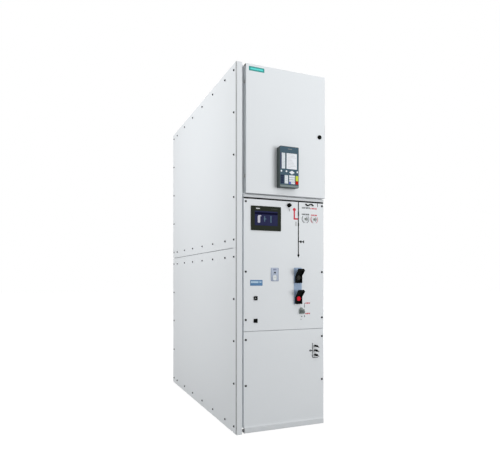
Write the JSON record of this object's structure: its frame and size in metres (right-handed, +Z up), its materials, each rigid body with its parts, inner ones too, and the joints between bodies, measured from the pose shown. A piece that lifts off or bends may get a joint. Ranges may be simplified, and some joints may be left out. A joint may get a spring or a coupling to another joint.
{
  "type": "medium-voltage switchgear panel",
  "caption": "Tall light grey sheet steel switchgear cabinet with a hinged low voltage door, protection relay, touch panel, guarded push buttons and a closed end wall.",
  "frame": {"origin": "centre of the cabinet's outline on the floor", "axes": "+Z up, -Y to the front, +X to the right seen from the front"},
  "size_m": [0.65, 1.672, 2.35],
  "materials": {
    "cabinet_paint": "light grey powder coat, fine grain, satin",
    "zinc_sheet": "bright galvanised sheet",
    "black_plastic": "black moulded, fine grain",
    "slate_plastic": "dark slate moulded, satin",
    "touch_glass": "dark blue lit screen",
    "display_glass": "pale grey lit display",
    "key_plastic": "pale keys",
    "red_plastic": "red moulded",
    "blue_grey_plate": "light blue-grey plate",
    "lock_metal": "satin die-cast metal"
  },
  "bodies": {
    "cabinet": {"base_rail_front": "cabinet_paint", "base_rail_rear": "cabinet_paint", "base_rail_left": "cabinet_paint", "base_rail_right": "cabinet_paint", "floor_plate": "zinc_sheet", "end_post": "cabinet_paint", "front_post_right": "cabinet_paint", "joint_rails": "zinc_sheet", "side_panel_left_lower": "cabinet_paint", "side_panel_left_upper": "cabinet_paint", "side_panel_right_lower": "cabinet_paint", "side_panel_right_upper": "cabinet_paint", "rear_panel_lower": "cabinet_paint", "rear_panel_upper": "cabinet_paint", "roof_panel": "cabinet_paint", "lv_floor": "zinc_sheet", "lv_back": "zinc_sheet", "lv_wall_left": "zinc_sheet", "lv_wall_right": "zinc_sheet", "mid_rail": "cabinet_paint", "operating_panel": "cabinet_paint", "lower_cover": "cabinet_paint", "touch_panel": "black_plastic", "touch_screen": "touch_glass", "selector_base": "black_plastic", "gate_lever": "black_plastic", "shaft_cover_left": "cabinet_paint", "shaft_cover_right": "cabinet_paint", "drive_plate": "blue_grey_plate", "panel_latch_upper": "black_plastic", "panel_latch_lower": "black_plastic", "key_interlock": "lock_metal", "button_plate": "blue_grey_plate", "on_button_guard": "black_plastic", "off_button_guard": "black_plastic", "test_sockets": "black_plastic", "hinge_brackets": "zinc_sheet"},
    "door": {"lv_door": "cabinet_paint", "door_lock": "black_plastic", "hinge_lugs": "zinc_sheet", "relay_front": "slate_plastic", "relay_case": "zinc_sheet", "relay_display": "display_glass", "relay_keys": "key_plastic"},
    "selector": {"selector_knob": "black_plastic"},
    "on_push": {"on_button": "black_plastic"},
    "off_push": {"off_button": "red_plastic"}
  },
  "joints": [
    {"name": "door_hinge", "type": "hinge", "parent": "cabinet", "child": "door", "pos_m": [-0.253, -0.771, 1.939], "axis": [0, 0, -1], "range_deg": [0, 110]},
    {"name": "selector_turn", "type": "hinge", "parent": "cabinet", "child": "selector", "pos_m": [0.058, -0.771, 1.468], "axis": [0, 1, 0], "range_deg": [0, 90]},
    {"name": "on_press", "type": "slide", "parent": "cabinet", "child": "on_push", "axis": [0, 1, 0], "range_m": [0, 0.005], "stiffness_N_per_m": 600},
    {"name": "off_press", "type": "slide", "parent": "cabinet", "child": "off_push", "axis": [0, 1, 0], "range_m": [0, 0.005], "stiffness_N_per_m": 600}
  ]
}
